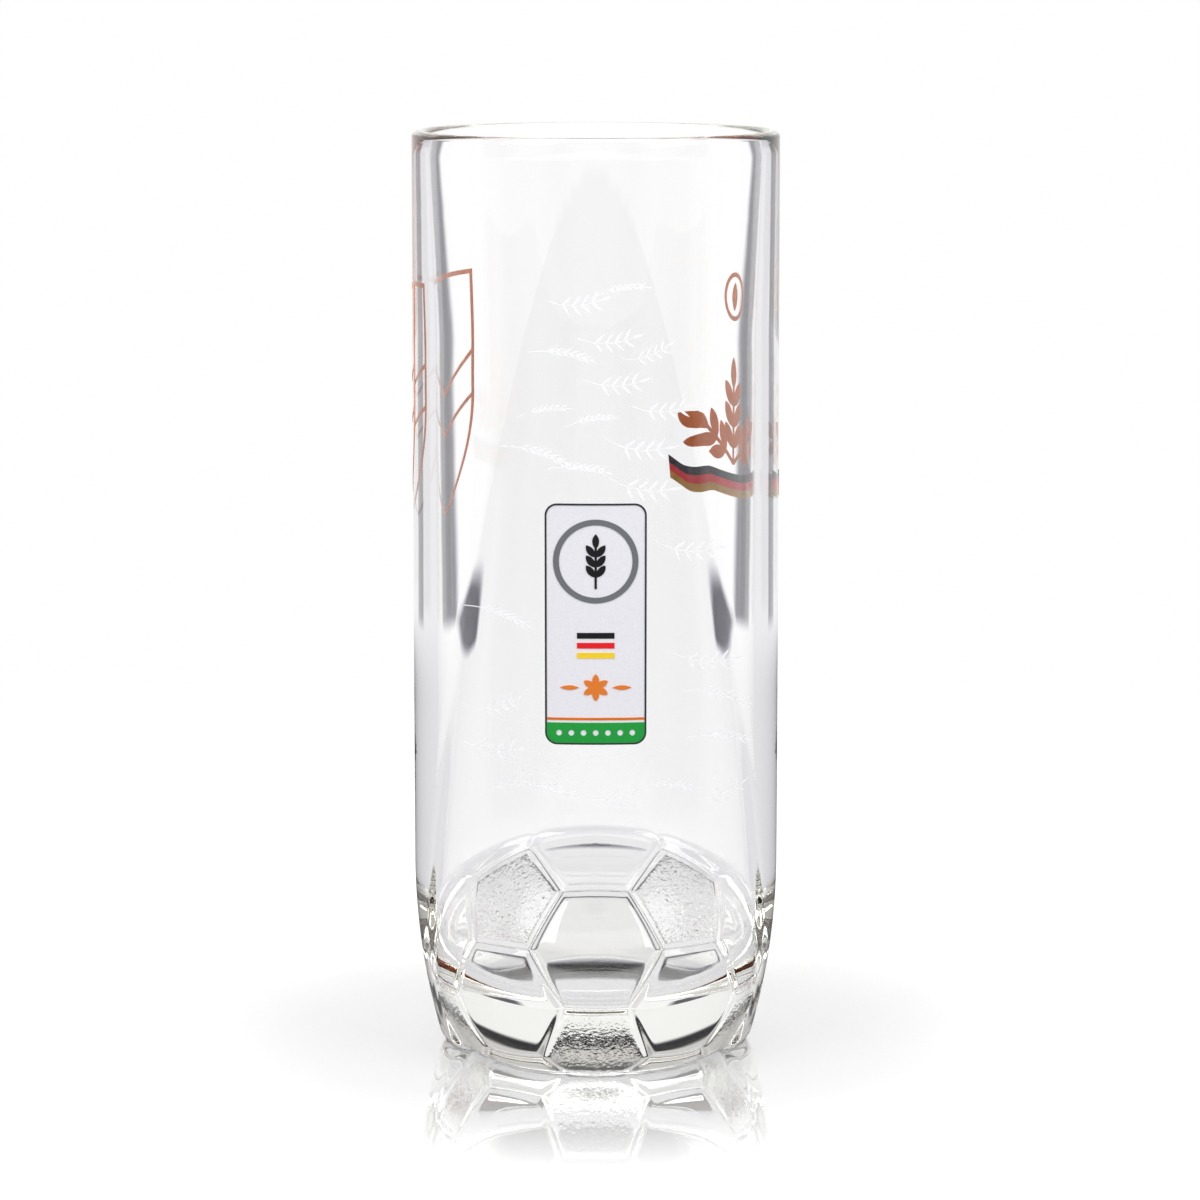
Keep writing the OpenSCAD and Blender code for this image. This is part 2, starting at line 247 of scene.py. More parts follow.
def ball_relief(directions):
    """Depth of the seams below the ball, and how stippled the ball is, at each direction from its centre."""
    nearness = directions @ BALL_FACES.T
    order = np.argsort(nearness, axis=1)
    best, second = order[:, -1], order[:, -2]
    rows = np.arange(len(directions))
    apart = np.linalg.norm(BALL_FACES[best] - BALL_FACES[second], axis=1)
    to_seam = BALL_RADIUS * (nearness[rows, best] - nearness[rows, second]) / apart
    trough = SEAM_DEPTH * np.exp(-((to_seam / SEAM_HALF_WIDTH) ** 2))
    stipple = np.clip((to_seam - STIPPLE_MARGIN) / STIPPLE_FADE, 0, 1) * BALL_IS_FIVE[best]
    return trough, stipple


print("football panels:", len(BALL_FACES), "of which five-sided:", int(BALL_IS_FIVE.sum()))

# %% [markdown]
# ## The outside and the inside
# The outside joins the three shapes. It also says how stippled each point is, and whether it lies on the
# panel, whose glass gets a painted grey shade and a faint roughness of its own. The inside is a slightly
# tapered bore with a large round at its floor, pushed in by the front panel, so that the wall there keeps its
# thickness.

# %% Rules for the two skins
EDGE_BLEND = 0.7
BALL_BLEND = 2.6
PANEL_FADE = 0.05
INSIDE_BLEND = 1.8
# The relief is stretched where the skin meets the ball at a slant, but not beyond this slant
LEAST_FACING = 0.3
# The glass stays inside the CAD model's box: the ball is lower by its mould line, and the skin that the
# prints sink into fades out towards the back
MESH_MARGIN = 0.004
BALL_SINK = MOULD_LINE_HEIGHT + SKIN + 2 * MESH_MARGIN
BACK_POWER = 8
TEST_HEIGHT = 100


def outside(turn, z):
    """Distance of the outer skin from the axis at one height, and how stippled and how much panel it is."""
    wall, reach = np.full_like(turn, wall_radius(z)), panel_reach(turn, z)
    plain = smooth_min(wall, reach, EDGE_BLEND)
    level = BALL_RADIUS**2 - (z - BALL_HEIGHT) ** 2 - (BALL_FORWARD * np.sin(turn)) ** 2
    hit = level > 0
    ball = BALL_FORWARD * np.cos(turn) + np.sqrt(np.where(hit, level, 0))
    out = np.stack([ball * np.sin(turn), BALL_FORWARD - ball * np.cos(turn),
                    np.full_like(turn, z - BALL_HEIGHT)], axis=1) / BALL_RADIUS
    trough, stipple = ball_relief(out)
    ridge = MOULD_LINE_HEIGHT * np.exp(-((ball * np.sin(turn) / MOULD_LINE_HALF_WIDTH) ** 2))
    ridge = ridge * (np.cos(turn) > 0)
    facing = np.clip(out[:, 0] * np.sin(turn) - out[:, 1] * np.cos(turn), LEAST_FACING, 1)
    ball = np.where(hit, ball + (ridge - trough) / facing - BALL_SINK, plain - 2 * BALL_BLEND)
    on_ball = np.clip((ball - plain) / BALL_BLEND, 0, 1)
    on_panel = np.clip((wall - reach) / PANEL_FADE, 0, 1) * (1 - on_ball)
    back = np.clip(-np.cos(turn), 0, 1) ** BACK_POWER
    skin = SKIN - (SKIN + MESH_MARGIN) * back
    return -smooth_min(-plain, -ball, BALL_BLEND) + skin, stipple * on_ball, on_panel


def inside(turn, z, bore):
    """Distance of the inner skin from the axis, where the bore alone would have this radius."""
    thickness = RIM_WALL + (PANEL_WALL - RIM_WALL) * (PANEL_TIP - z) / PANEL_RISE
    return smooth_min(np.full_like(turn, bore), panel_reach(turn, z, thickness), INSIDE_BLEND)


straight_ahead = np.zeros(1)
front_wall = outside(straight_ahead, TEST_HEIGHT)[0] - inside(straight_ahead, TEST_HEIGHT, BODY_RADIUS)
print("wall at the front,", TEST_HEIGHT, "mm up:", round(float(front_wall[0]), 2), "mm")

# %% [markdown]
# ## One closed mesh of rings
# The rings run from the middle of the base, up the outside, over the rim and down the inside to the floor.
# Each ring has a column of points on the panel's edge, so that edge is a clean line and not a staircase. The
# ball needs points a quarter of a millimetre apart for its stipple, and the rest doesn't. So the lower rings
# have three times as many points across the front, and one row of wider faces joins the two.

# %% Rings of points
DENSE = 3
FRONT_COLUMNS = 44
BACK_COLUMNS = 48
BACK_SPREAD = 1.3
LEAST_EDGE_TURN = math.radians(12)


def ring_turns(z, dense):
    """Turns of one ring's points, from the front, round the right side to the back and home."""
    edge = max(float(panel_edge_turn(z)), LEAST_EDGE_TURN)
    count = FRONT_COLUMNS * (DENSE if dense else 1)
    front = edge * np.linspace(0, 1, count + 1)
    back = edge + (math.pi - edge) * np.linspace(0, 1, BACK_COLUMNS + 1)[1:] ** BACK_SPREAD
    half = np.concatenate([front, back])
    return np.concatenate([half, -half[1:-1][::-1]])


class Rings:
    """Collects rings of points and the faces between them."""

    def __init__(self):
        self.points, self.stipple, self.panel, self.faces, self.last = [], [], [], [], None

    def add(self, turn, radius, z, stipple=0, panel=0):
        start = len(self.points)
        for t, r, h in zip(turn, radius, np.broadcast_to(z, turn.shape)):
            self.points.append((r * math.sin(t) * MM, -r * math.cos(t) * MM, h * MM))
        self.stipple.extend(np.broadcast_to(stipple, turn.shape))
        self.panel.extend(np.broadcast_to(panel, turn.shape))
        self.follow(list(range(start, len(self.points))))

    def pole(self, z):
        self.points.append((0, 0, z * MM))
        self.stipple.append(0)
        self.panel.append(0)
        self.follow([len(self.points) - 1])

    def follow(self, ring):
        """Joins a new ring to the one before it."""
        if self.last is not None:
            self.join(self.last, ring)
        self.last = ring

    def join(self, low, high):
        if len(low) == 1:
            self.faces += [(low[0], b, a) for a, b in zip(high, high[1:] + high[:1])]
        elif len(high) == 1:
            self.faces += [(a, b, high[0]) for a, b in zip(low, low[1:] + low[:1])]
        elif len(low) == len(high):
            self.faces += list(zip(low, low[1:] + low[:1], high[1:] + high[:1], high))
        else:
            self.thin_out(low, high)

    def thin_out(self, low, high):
        """Joins a dense ring to one with fewer points across the front."""
        half = FRONT_COLUMNS + BACK_COLUMNS
        steps = [DENSE] * FRONT_COLUMNS + [1] * BACK_COLUMNS
        places = np.concatenate([[0], np.cumsum(steps + steps[::-1])])
        for i in range(2 * half):
            under = [low[k % len(low)] for k in range(places[i], places[i + 1] + 1)]
            self.faces.append(tuple(under + [high[(i + 1) % len(high)], high[i]]))


print("points on a ring:", len(ring_turns(0, True)), "on the ball,", len(ring_turns(0, False)), "elsewhere")

# %% Build the glass's rings
# Heights and steps in millimetres
BALL_TOP = 45
BALL_STEP = 0.26
DENSE_TOP = 56
DENSE_STEP = 0.5
WALL_STEP = 3
# Numbers of rings
BASE_RINGS = 11
FOOT_EDGE_RINGS = 6
RIM_RINGS = 12
CORNER_RINGS = 30
# Rings on the flat floor inside, as shares of its radius
FLOOR_SHARES = (0.7, 0.35)

RIM_HEIGHT = GLASS_HEIGHT - RIM_ROUND
CORNER_HEIGHT = INSIDE_FLOOR + INSIDE_CORNER
TOP_BORE = BODY_RADIUS - RIM_WALL
LOW_BORE = BODY_RADIUS - LOW_WALL
# The bore's radius at three heights, from the round at the floor to the brim
BORE_HEIGHTS = [CORNER_HEIGHT, GLASS_HEIGHT - LIP_HEIGHT, GLASS_HEIGHT]
BORES = [LOW_BORE, BODY_RADIUS - LIP_WALL, TOP_BORE]


def add_outside(rings, z, dense, draw_in=0):
    """Adds a ring of the outer skin and returns its turns."""
    turn = ring_turns(z, dense)
    radius, stipple, panel = outside(turn, z)
    rings.add(turn, radius - draw_in, z, stipple, panel)
    return turn


def add_inside(rings, z, bore):
    """Adds a ring of the inner skin and returns its turns."""
    turn = ring_turns(z, False)
    rings.add(turn, inside(turn, z, bore), z)
    return turn


def add_foot(rings):
    turn = ring_turns(0, True)
    edge = outside(turn, 0)[0] - FOOT_EDGE_RADIUS
    rings.pole(0)
    for share in np.linspace(0, 1, BASE_RINGS + 1)[1:]:
        rings.add(turn, share * edge, 0)
    for angle in np.linspace(0, math.pi / 2, FOOT_EDGE_RINGS + 1)[1:]:
        z = FOOT_EDGE_RADIUS * (1 - math.cos(angle))
        add_outside(rings, z, True, FOOT_EDGE_RADIUS * (1 - math.sin(angle)))


def add_wall(rings):
    on_ball = np.arange(FOOT_EDGE_RADIUS + BALL_STEP, BALL_TOP, BALL_STEP)
    for z in np.concatenate([on_ball, np.arange(BALL_TOP, DENSE_TOP, DENSE_STEP)]):
        add_outside(rings, z, True)
    count = round((RIM_HEIGHT - DENSE_TOP) / WALL_STEP)
    for z in np.linspace(DENSE_TOP + WALL_STEP, RIM_HEIGHT, count):
        turn = add_outside(rings, z, False)
    return turn


def add_rim(rings, turn):
    outer, inner = outside(turn, RIM_HEIGHT)[0], inside(turn, RIM_HEIGHT, TOP_BORE)
    for angle in np.linspace(0, math.pi, RIM_RINGS + 1)[1:]:
        radius = (outer + inner) / 2 + (outer - inner) / 2 * math.cos(angle)
        rings.add(turn, radius, RIM_HEIGHT + RIM_ROUND * math.sin(angle))


def add_bore(rings):
    for share in np.linspace(0, 1, round((RIM_HEIGHT - CORNER_HEIGHT) / WALL_STEP))[1:]:
        z = RIM_HEIGHT + (CORNER_HEIGHT - RIM_HEIGHT) * share
        add_inside(rings, z, float(np.interp(z, BORE_HEIGHTS, BORES)))
    for angle in np.linspace(0, math.pi / 2, CORNER_RINGS + 1)[1:]:
        z = CORNER_HEIGHT - INSIDE_CORNER * math.sin(angle)
        turn = add_inside(rings, z, LOW_BORE - INSIDE_CORNER * (1 - math.cos(angle)))
    flat = LOW_BORE - INSIDE_CORNER
    for share in FLOOR_SHARES:
        rings.add(turn, np.full_like(turn, flat * share), INSIDE_FLOOR)
    rings.pole(INSIDE_FLOOR)


rings = Rings()
add_foot(rings)
rim_turns = add_wall(rings)
add_rim(rings, rim_turns)
add_bore(rings)
print("glass rings:", len(rings.points), "points,", len(rings.faces), "faces")

# %% [markdown]
# ## Clear glass
# The finish is clear soda-lime glass. Light that goes a long way through it loses a little blue, which tints
# the thick foot, so the absorption is set in the volume. A faint, wide bump stands for the soft waves that
# pressing leaves. The stipple attribute roughens the five-sided panels and gives them a fine grain. The front
# panel has a faint satin roughness and a painted grey shade in the glass's colour, which is why it shows as a
# pale field between the clearer sides.

# %% Helpers for finishes
WHITE = (1, 1, 1, 1)
# A Mix node's sockets for two colours, and for the colour that comes out
MIX_FIRST = 6
MIX_SECOND = 7
MIX_RESULT = 2


def new_material(name):
    material = bpy.data.materials.new(name)
    material.use_nodes = True
    tree = material.node_tree
    return material, tree, tree.nodes["Principled BSDF"]


def add_node(tree, kind, links=None, **values):
    """A node with its settings, its socket values and what its sockets are linked from."""
    node = tree.nodes.new(kind)
    for name, value in values.items():
        setattr(node, name, value)
    for socket, source in (links or {}).items():
        if isinstance(source, bpy.types.NodeSocket):
            tree.links.new(source, node.inputs[socket])
        else:
            node.inputs[socket].default_value = source
    return node


def maths(tree, operation, *values):
    return add_node(tree, "ShaderNodeMath", dict(enumerate(values)), operation=operation).outputs[0]


def mix_colours(tree, share, first, second):
    """The first colour where the share is 0, the second where it is 1."""
    links = {"Factor": share, MIX_FIRST: first, MIX_SECOND: second}
    return add_node(tree, "ShaderNodeMix", links, data_type="RGBA").outputs[MIX_RESULT]


def stretch(tree, value, limits):
    """A value from 0 to 1, stretched to run from one limit to the other."""
    links = {"Value": value, "To Min": limits[0], "To Max": limits[1]}
    return add_node(tree, "ShaderNodeMapRange", links).outputs[0]


def noise(tree, scale, detail):
    """A noise that stays in its place on the piece."""
    place = add_node(tree, "ShaderNodeTexCoord").outputs["Object"]
    links = {"Vector": place, "Scale": scale, "Detail": detail}
    return add_node(tree, "ShaderNodeTexNoise", links).outputs[0]


print("finish helpers ready")

# %% Glass finish
GLASS_IOR = 1.52
ABSORPTION_COLOUR = (0.80, 0.80, 0.66, 1)
ABSORPTION_DENSITY = 4
WAVE_SCALE = 70
WAVE_DETAIL = 1.0
WAVE_HEIGHT = 0.012 * MM
STIPPLE_ROUGHNESS = 0.02
STIPPLE_BUMP_SCALE = 2400
STIPPLE_BUMP_DETAIL = 1.0
STIPPLE_BUMP_HEIGHT = 0.06 * MM
# A painted grey shade in the glass's colour on the front panel
PANEL_PAINTED_SHADE = (0.9, 0.9, 0.915, 1)
PANEL_ROUGHNESS = 0.012


def clear_glass():
    material, tree, shader = new_material("clear_glass")
    shader.inputs["Transmission Weight"].default_value = 1
    shader.inputs["IOR"].default_value = GLASS_IOR
    stipple = add_node(tree, "ShaderNodeAttribute", attribute_name="stipple").outputs["Fac"]
    panel = add_node(tree, "ShaderNodeAttribute", attribute_name="panel").outputs["Fac"]
    # The panel's glass colour is a painted grey shade
    tree.links.new(mix_colours(tree, panel, WHITE, PANEL_PAINTED_SHADE), shader.inputs["Base Color"])
    stippled = maths(tree, "MULTIPLY", stipple, STIPPLE_ROUGHNESS)
    rough = maths(tree, "MULTIPLY_ADD", panel, PANEL_ROUGHNESS, stippled)
    tree.links.new(rough, shader.inputs["Roughness"])
    waves = noise(tree, WAVE_SCALE, WAVE_DETAIL)
    grain = noise(tree, STIPPLE_BUMP_SCALE, STIPPLE_BUMP_DETAIL)
    bump = add_node(tree, "ShaderNodeBump", {"Height": waves, "Distance": WAVE_HEIGHT, "Strength": 1.0})
    fine = add_node(tree, "ShaderNodeBump", {"Height": grain, "Distance": STIPPLE_BUMP_HEIGHT,
                                             "Strength": stipple, "Normal": bump.outputs[0]})
    tree.links.new(fine.outputs[0], shader.inputs["Normal"])
    depth = {"Color": ABSORPTION_COLOUR, "Density": ABSORPTION_DENSITY}
    volume = add_node(tree, "ShaderNodeVolumeAbsorption", depth)
    tree.links.new(volume.outputs[0], tree.nodes["Material Output"].inputs["Volume"])
    return material


GLASS = clear_glass()
print("finish:", GLASS.name, "index", GLASS_IOR)

# %% [markdown]
# ## Stipple the five-sided panels with Geometry Nodes
# The stipple is a field of small bumps that follows a surface, so a node tree makes it: it moves each point
# along its normal by a noise, as far as the stipple attribute lets it. The tree's sizes are named inputs. The
# result is turned into a plain mesh, because the exported model can't hold a modifier.

# %% Helpers for node trees
def new_tree(name, inputs):
    """A geometry node tree with named inputs after its geometry, and its input and output nodes."""
    tree = bpy.data.node_groups.new(name, "GeometryNodeTree")
    tree.interface.new_socket("Geometry", in_out="INPUT", socket_type="NodeSocketGeometry")
    tree.interface.new_socket("Geometry", in_out="OUTPUT", socket_type="NodeSocketGeometry")
    for label, kind in inputs.items():
        tree.interface.new_socket(label, in_out="INPUT", socket_type="NodeSocket" + kind)
    return tree, tree.nodes.new("NodeGroupInput"), tree.nodes.new("NodeGroupOutput")


def end_tree(tree, output, geometry, material):
    real = add_node(tree, "GeometryNodeRealizeInstances", {"Geometry": geometry})
    painted = add_node(tree, "GeometryNodeSetMaterial", {"Geometry": real.outputs[0], "Material": material})
    tree.links.new(painted.outputs[0], output.inputs[0])


def times(tree, *values):
    """The product of two or more values."""
    result = values[0]
    for value in values[1:]:
        result = maths(tree, "MULTIPLY", result, value)
    return result


def grow(name, mesh, tree, values):
    """Runs a tree on a mesh and returns the result as an object with a plain mesh."""
    seedling = bpy.data.objects.new(name + "_seedling", mesh)
    scene.collection.objects.link(seedling)
    modifier = seedling.modifiers.new("grow", "NODES")
    modifier.node_group = tree
    labels = {item.name: item.identifier for item in tree.interface.items_tree if item.in_out == "INPUT"}
    for label, value in values.items():
        modifier[labels[label]] = value
    grown = seedling.evaluated_get(bpy.context.evaluated_depsgraph_get())
    made = bpy.data.meshes.new_from_object(grown)
    seedling.modifiers.clear()
    bpy.data.objects.remove(seedling)
    made.name = name
    piece = bpy.data.objects.new(name, made)
    scene.collection.objects.link(piece)
    return piece


print("tree helpers ready")

# %% Make the glass
STIPPLE_GRAIN = 0.42 * MM
STIPPLE_HEIGHT = 0.09 * MM
STIPPLE_SEED = 3.0
# A noise runs from 0 to 1, so it swings by this much to each side of its middle
NOISE_MIDDLE = 0.5


def stipple_tree():
    tree, given, output = new_tree("stippled_panels", {"Grain": "Float", "Height": "Float", "Seed": "Float"})
    where = add_node(tree, "GeometryNodeInputPosition").outputs[0]
    scale = maths(tree, "DIVIDE", 1.0, given.outputs["Grain"])
    links = {"Vector": where, "W": given.outputs["Seed"], "Scale": scale, "Detail": 0.0}
    bumps = add_node(tree, "ShaderNodeTexNoise", links, noise_dimensions="4D").outputs[0]
    mask = add_node(tree, "GeometryNodeInputNamedAttribute", {"Name": "stipple"}, data_type="FLOAT")
    swing = maths(tree, "SUBTRACT", bumps, NOISE_MIDDLE)
    full = maths(tree, "DIVIDE", given.outputs["Height"], NOISE_MIDDLE)
    lift = times(tree, swing, mask.outputs["Attribute"], full)
    normal = add_node(tree, "GeometryNodeInputNormal").outputs[0]
    offset = add_node(tree, "ShaderNodeVectorMath", {0: normal, "Scale": lift}, operation="SCALE").outputs[0]
    moved = add_node(tree, "GeometryNodeSetPosition", {"Geometry": given.outputs[0], "Offset": offset})
    end_tree(tree, output, moved.outputs[0], GLASS)
    return tree


def make_glass():
    mesh = bpy.data.meshes.new("glass_rings")
    mesh.from_pydata(rings.points, [], rings.faces)
    for label, values in (("stipple", rings.stipple), ("panel", rings.panel)):
        mesh.attributes.new(label, "FLOAT", "POINT").data.foreach_set("value", np.array(values, np.float32))
    sizes = {"Grain": STIPPLE_GRAIN, "Height": STIPPLE_HEIGHT, "Seed": STIPPLE_SEED}
    glass = grow("glass", mesh, stipple_tree(), sizes)
    glass.data.shade_smooth()
    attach(glass, "root")
    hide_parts("glass_body")
    return glass


glass = make_glass()
triangles = sum(len(face.vertices) - 2 for face in glass.data.polygons)
print("glass:", triangles, "triangles, stippled points:", int((np.array(rings.stipple) > 0).sum()))

# %% [markdown]
# ## Engraved sprigs on the panel
# The panel carries fine white engravings, each about as wide as a thumbnail: ears of barley and leafy twigs.
# They repeat, so Geometry Nodes place them. Points are scattered over a flat drawing of the panel with the
# badge left out, no two closer than a given distance. A sprig is put on each one at a random turn and size.
# Then the flat result is bent onto the panel's barrel.

# %% Shapes of the sprigs, in millimetres
SPRIG_LENGTH = 11
SPRIG_LINE = 0.16
SPRIG_SINK = 0.02
SPRIG_RISE = 0.04
STALK_POINTS = 11
# Where the blades start along the stalk and how far they run, as shares of its length
BLADES_START = 0.25
BLADES_RUN = 0.7
# One side of a blade: share of its length, and share of its width beside the middle
BLADE_SIDE = [(0.0, 0.12), (0.25, 0.42), (0.5, 0.5), (0.75, 0.36), (1.0, 0.04)]
# An ear of barley and a twig: pairs of blades, length and width of a blade, its lean in radians, and the
# bow of the stalk
BARLEY = (6, 2.0, 0.34, 0.42, 3.0)
TWIG = (4, 2.6, 0.5, 0.85, -4.0)


def prism(points, faces, outline):
    """Adds a thin closed prism with this flat outline, given as X and Z in millimetres."""
    start, count = len(points), len(outline)
    for depth in (SPRIG_SINK, -SPRIG_RISE):
        points += [(x * MM, depth * MM, z * MM) for x, z in outline]
    back = list(range(start, start + count))
    front = list(range(start + count, start + 2 * count))
    faces += [tuple(back[::-1]), tuple(front)]
    faces += [(back[i], back[(i + 1) % count], front[(i + 1) % count], front[i]) for i in range(count)]


def blade(foot, angle, length, width):
    """Outline of a slim pointed leaf that grows from a foot at an angle from the X axis."""
    along = np.array([math.cos(angle), math.sin(angle)])
    aside = np.array([-along[1], along[0]])
    right = [foot + along * length * t - aside * width * w for t, w in BLADE_SIDE]
    left = [foot + along * length * t + aside * width * w for t, w in reversed(BLADE_SIDE)]
    return [tuple(p) for p in right + left]


def sprig_mesh(name, pairs, length, width, lean, rise):
    """A bowed stalk along X with pairs of blades and one at its tip."""
    points, faces = [], []
    steps = np.linspace(-0.5, 0.5, STALK_POINTS)
    stalk = np.stack([SPRIG_LENGTH * steps, rise * (0.25 - steps**2)], axis=1)
    upper = [(x, z + SPRIG_LINE / 2) for x, z in stalk[::-1]]
    prism(points, faces, [(x, z - SPRIG_LINE / 2) for x, z in stalk] + upper)
    for i in range(pairs):
        share = BLADES_START - 0.5 + BLADES_RUN * (i + 0.5) / pairs
        foot = np.array([SPRIG_LENGTH * share, rise * (0.25 - share**2)])
        slope = math.atan2(-2 * rise * share, SPRIG_LENGTH)
        for side in (-1, 1):
            prism(points, faces, blade(foot, slope + side * lean, length, width))
    prism(points, faces, blade(stalk[-1], math.atan2(-rise, SPRIG_LENGTH), length, width))
    mesh = bpy.data.meshes.new(name)
    mesh.from_pydata(points, [], faces)
    return mesh


sprig_patterns = [sprig_mesh("barley", *BARLEY), sprig_mesh("twig", *TWIG)]
print("sprigs:", {mesh.name: len(mesh.polygons) for mesh in sprig_patterns}, "faces")

# %% Engrave the panel
# Lowest and highest row of the drawing, height of a row and margins, in millimetres
SPRIG_LOW = 52
SPRIG_HIGH = 154
SPRIG_ROW = 2
SPRIG_MARGIN = 5
BADGE_MARGIN = 3
LEAST_STRIP = 0.5
# A sprig's middle stays this much further from the badge's sides
SPRIG_AWAY = SPRIG_LENGTH / 3
SPRIG_SPACING = 7.2 * MM
SPRIG_SEED = 11
# Most points per square metre before those that are too close are taken out
SPRIG_DENSITY = 60000.0
SPRIG_TURN = (-0.3, 0.3)
SPRIG_SIZE = (0.75, 1.1)
ENGRAVED_DETAIL = 2.0
ENGRAVED_TINT = (0.86, 1.0)
ENGRAVED_ROUGHNESS = 0.7


def engraved_finish():
    material, tree, shader = new_material("engraved_glass")
    grain = noise(tree, STIPPLE_BUMP_SCALE, ENGRAVED_DETAIL)
    tree.links.new(stretch(tree, grain, ENGRAVED_TINT), shader.inputs["Base Color"])
    shader.inputs["Roughness"].default_value = ENGRAVED_ROUGHNESS
    return material


def panel_drawing():
    """Flat quads that fill the panel without a margin and the badge."""
    badge_low, badge_high = (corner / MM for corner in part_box("badge_ground"))
    points, faces = [], []
    for z in np.arange(SPRIG_LOW, SPRIG_HIGH, SPRIG_ROW):
        half = float(wall_radius(z) * np.sin(panel_edge_turn(z))) - SPRIG_MARGIN
        inner = badge_high.x + BADGE_MARGIN + SPRIG_AWAY
        beside = badge_low.z - BADGE_MARGIN < z + SPRIG_ROW and z < badge_high.z + BADGE_MARGIN
        strips = [(-half, -inner), (inner, half)] if beside else [(-half, half)]
        for left, right in strips:
            if right - left > LEAST_STRIP:
                corners = ((left, z), (right, z), (right, z + SPRIG_ROW), (left, z + SPRIG_ROW))
                faces.append(tuple(range(len(points), len(points) + len(corners))))
                points += [(x * MM, 0, h * MM) for x, h in corners]
    mesh = bpy.data.meshes.new("panel_drawing")
    mesh.from_pydata(points, [], faces)
    return mesh


def random_between(tree, limits, seed):
    """A random number for each point. Sockets 2 and 3 are the node's limits for plain numbers."""
    links = {2: limits[0], 3: limits[1], "Seed": seed}
    return add_node(tree, "FunctionNodeRandomValue", links, data_type="FLOAT").outputs[1]


def sprig_tree(material):
    inputs = {"Sprigs": "Collection", "Spacing": "Float", "Seed": "Int"}
    tree, given, output = new_tree("scattered_sprigs", inputs)
    seed = given.outputs["Seed"]
    links = {"Mesh": given.outputs[0], "Distance Min": given.outputs["Spacing"],
             "Density Max": SPRIG_DENSITY, "Seed": seed}
    spread = add_node(tree, "GeometryNodeDistributePointsOnFaces", links, distribute_method="POISSON")
    links = {"Collection": given.outputs["Sprigs"], "Separate Children": True}
    pool = add_node(tree, "GeometryNodeCollectionInfo", links)
    turn = add_node(tree, "ShaderNodeCombineXYZ", {1: random_between(tree, SPRIG_TURN, seed)})
    links = {"Points": spread.outputs["Points"], "Instance": pool.outputs[0], "Pick Instance": True,
             "Rotation": turn.outputs[0], "Scale": random_between(tree, SPRIG_SIZE, seed)}
    placed = add_node(tree, "GeometryNodeInstanceOnPoints", links)
    end_tree(tree, output, placed.outputs[0], material)
    return tree


def bend_onto_panel(mesh):
    flat = np.empty(3 * len(mesh.vertices), np.float32)
    mesh.vertices.foreach_get("co", flat)
    x, y, z = flat.reshape(-1, 3).T / MM
    y = PANEL_AXIS - np.sqrt((barrel_radius(z) + SKIN - y) ** 2 - x**2)
    mesh.vertices.foreach_set("co", (np.stack([x, y, z], axis=1) * MM).astype(np.float32).ravel())
    mesh.update()


def make_sprigs():
    pool = bpy.data.collections.new("sprig_patterns")
    for mesh in sprig_patterns:
        pool.objects.link(bpy.data.objects.new(mesh.name, mesh))
    sprigs = grow("engraved_sprigs", panel_drawing(), sprig_tree(engraved_finish()),
                  {"Sprigs": pool, "Spacing": SPRIG_SPACING, "Seed": SPRIG_SEED})
    for pattern in list(pool.objects):
        bpy.data.objects.remove(pattern)
    bpy.data.collections.remove(pool)
    bend_onto_panel(sprigs.data)
    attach(sprigs, "root")
    return sprigs


sprigs = make_sprigs()
print("engraved sprigs:", len(sprigs.data.polygons), "faces")

# %% [markdown]
# ## Fired prints
# Enamel is ground glass and pigment, screened on and fired. It is a little glossy, and the screen's mesh and
# the firing leave a fine grain in it. Copper and gold lustre are thin films of metal. Both get a grain of
# colour and a slight bump from noise, at the size of the real print's texture.

# %% Print finishes
PRINT_DETAIL = 3.0
PRINT_BUMP_HEIGHT = 0.006 * MM
PRINT_BUMP_STRENGTH = 0.6
# Size of the grain, how far the colour varies, limits of the roughness, and how metallic
ENAMEL = (2600, 0.08, (0.28, 0.4), 0)
LUSTRE = (420, 0.25, (0.16, 0.32), 0.1)
ENAMELS = {
    "pale_enamel": (0.80, 0.80, 0.83),
    "dark_enamel": (0.03, 0.03, 0.034),
    "grey_enamel": (0.16, 0.165, 0.18),
    "black_enamel": (0.008, 0.008, 0.009),
    "red_enamel": (0.8, 0.008, 0.015),
    "yellow_enamel": (0.9, 0.62, 0.02),
    "orange_enamel": (0.76, 0.2, 0.02),
    "green_enamel": (0.012, 0.33, 0.045),
}
LUSTRES = {"copper_lustre": (0.78, 0.17, 0.004), "gold_lustre": (0.6, 0.3, 0.02)}


def shaded(colour, share):
    return tuple(min(1, c * share) for c in colour) + (1,)


def grained(name, colour, scale, spread, roughness, metallic):
    """A finish whose colour, roughness and height vary with one noise."""
    material, tree, shader = new_material(name)
    grain = noise(tree, scale, PRINT_DETAIL)
    tint = mix_colours(tree, grain, shaded(colour, 1 - spread), shaded(colour, 1 + spread))
    tree.links.new(tint, shader.inputs["Base Color"])
    tree.links.new(stretch(tree, grain, roughness), shader.inputs["Roughness"])
    links = {"Height": grain, "Distance": PRINT_BUMP_HEIGHT, "Strength": PRINT_BUMP_STRENGTH}
    bump = add_node(tree, "ShaderNodeBump", links)
    tree.links.new(bump.outputs["Normal"], shader.inputs["Normal"])
    shader.inputs["Metallic"].default_value = metallic
    return material


finishes = {name: grained(name, colour, *ENAMEL) for name, colour in ENAMELS.items()}
finishes.update({name: grained(name, colour, *LUSTRE) for name, colour in LUSTRES.items()})
for part in frame["record"]["subparts"]:
    if part["material_slot"] in finishes:
        print_mesh = nodes[part["node"]].data
        print_mesh.materials.clear()
        print_mesh.materials.append(finishes[part["material_slot"]])
print("print finishes:", len(finishes))

# %% [markdown]
# ## The stage
# A clear glass is drawn by what is seen through it and in it, so the room matters as much as the glass. The
# camera sees white all round. Light that the glass bends or mirrors meets the same white room with a few
# dark things in it, as in a studio. Dark cards could stand there, but they would shade the prints and show in
# other views. So the table and the room ask which kind of light meets them.

